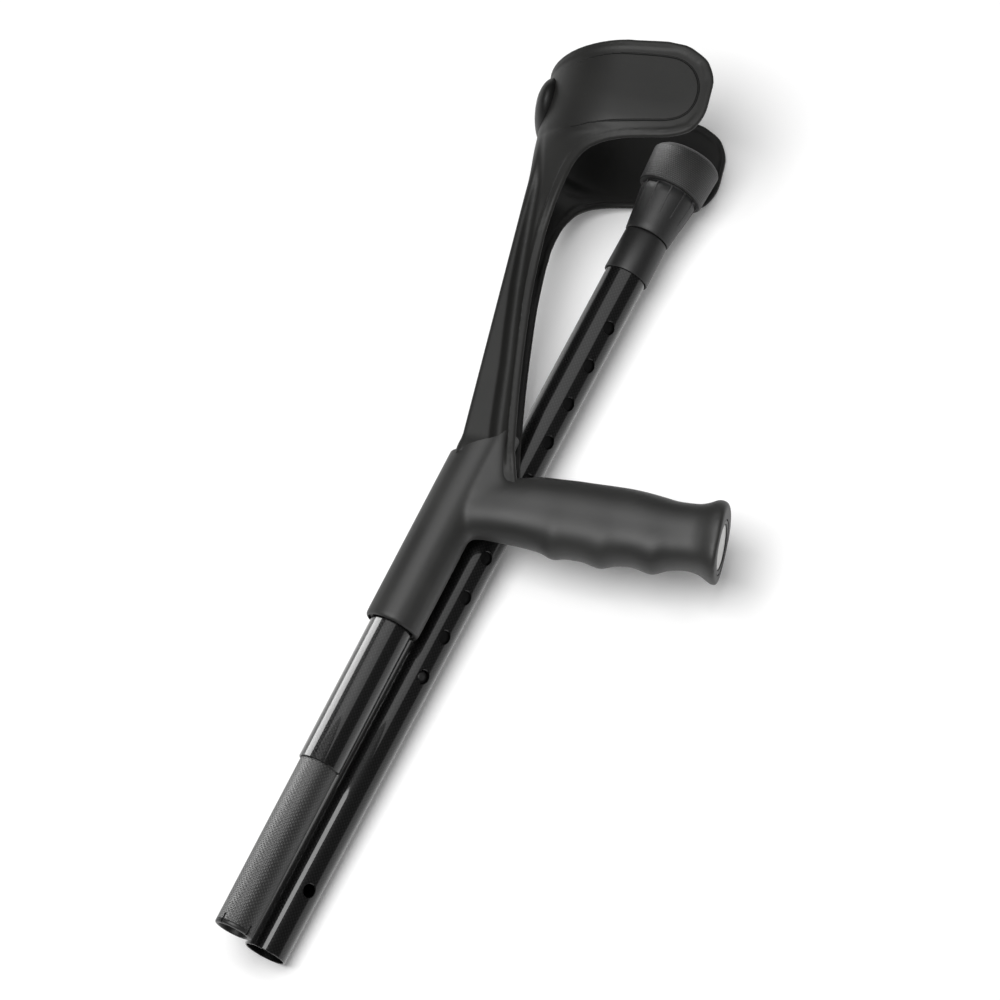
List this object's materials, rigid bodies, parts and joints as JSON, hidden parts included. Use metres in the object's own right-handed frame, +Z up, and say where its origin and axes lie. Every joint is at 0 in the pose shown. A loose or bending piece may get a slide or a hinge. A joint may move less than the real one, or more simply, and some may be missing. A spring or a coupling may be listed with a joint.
{
  "type": "forearm crutch",
  "caption": "Black carbon forearm crutch with open arm cuff and soft handle, taken apart for travel with its telescopic leg lying alongside.",
  "frame": {"origin": "middle of the underside of the box around the crutch as it lies", "axes": "+Y runs along the tubes from the open tube ends to the cuff, +X points to the handle's side, +Z is up from the floor that it lies on"},
  "size_m": [0.2146, 0.5454, 0.1019],
  "materials": {
    "glossy_carbon": "clear-coated carbon weave, gloss",
    "satin_carbon": "bare carbon weave, satin",
    "moulding": "fine matte moulding texture",
    "soft_grip": "soft-touch satin",
    "black_plastic": "semi-gloss",
    "grey_plastic": "semi-gloss",
    "foot_rubber": "matte, fine texture",
    "grey_metal": "anodised satin",
    "pale_metal": "satin",
    "steel": "plain"
  },
  "bodies": {
    "upper": {"arm_support": "moulding", "grip_cover": "soft_grip", "grip_end_ring": "black_plastic", "grip_end_disc": "pale_metal", "reflector_bezel": "moulding", "reflector": "grey_plastic", "upper_tube": "glossy_carbon", "sleeve_pin": "steel", "spigot_tube": "satin_carbon", "spigot_insert": "black_plastic", "lock_spring_base": "steel"},
    "guide": {"leg_guide_plug": "black_plastic"},
    "leg": {"leg_tube": "glossy_carbon", "leg_collar": "black_plastic"},
    "foot": {"inner_tube": "grey_metal", "inner_tube_plug": "black_plastic", "ferrule": "foot_rubber", "ferrule_washer": "steel", "height_spring_base": "steel"},
    "lock": {"lock_button": "black_plastic", "lock_leaf": "steel"},
    "height": {"height_button": "black_plastic", "height_leaf": "steel"}
  },
  "joints": [
    {"name": "leg_fold", "type": "hinge", "parent": "upper", "child": "guide", "pos_m": [-0.03413, -0.27275, 0.02668], "axis": [-0.9124, 0.0151, -0.4089], "range_deg": [0, 180.03]},
    {"name": "leg_plug", "type": "slide", "parent": "guide", "child": "leg", "axis": [-0.0133, -0.9996, -0.0253], "range_m": [0, 0.1019]},
    {"name": "height_adjust", "type": "slide", "parent": "leg", "child": "foot", "axis": [0.0133, 0.9996, 0.0253], "range_m": [0, 0.225]},
    {"name": "lock_press", "type": "slide", "parent": "upper", "child": "lock", "axis": [-0.9999, 0.0003, -0.014], "range_m": [0, 0.0033], "stiffness_N_per_m": 800, "springref_m": 0.0033},
    {"name": "height_press", "type": "slide", "parent": "foot", "child": "height", "axis": [0.6755, -0.0277, 0.7369], "range_m": [0, 0.0033], "stiffness_N_per_m": 800, "springref_m": 0.0033}
  ]
}
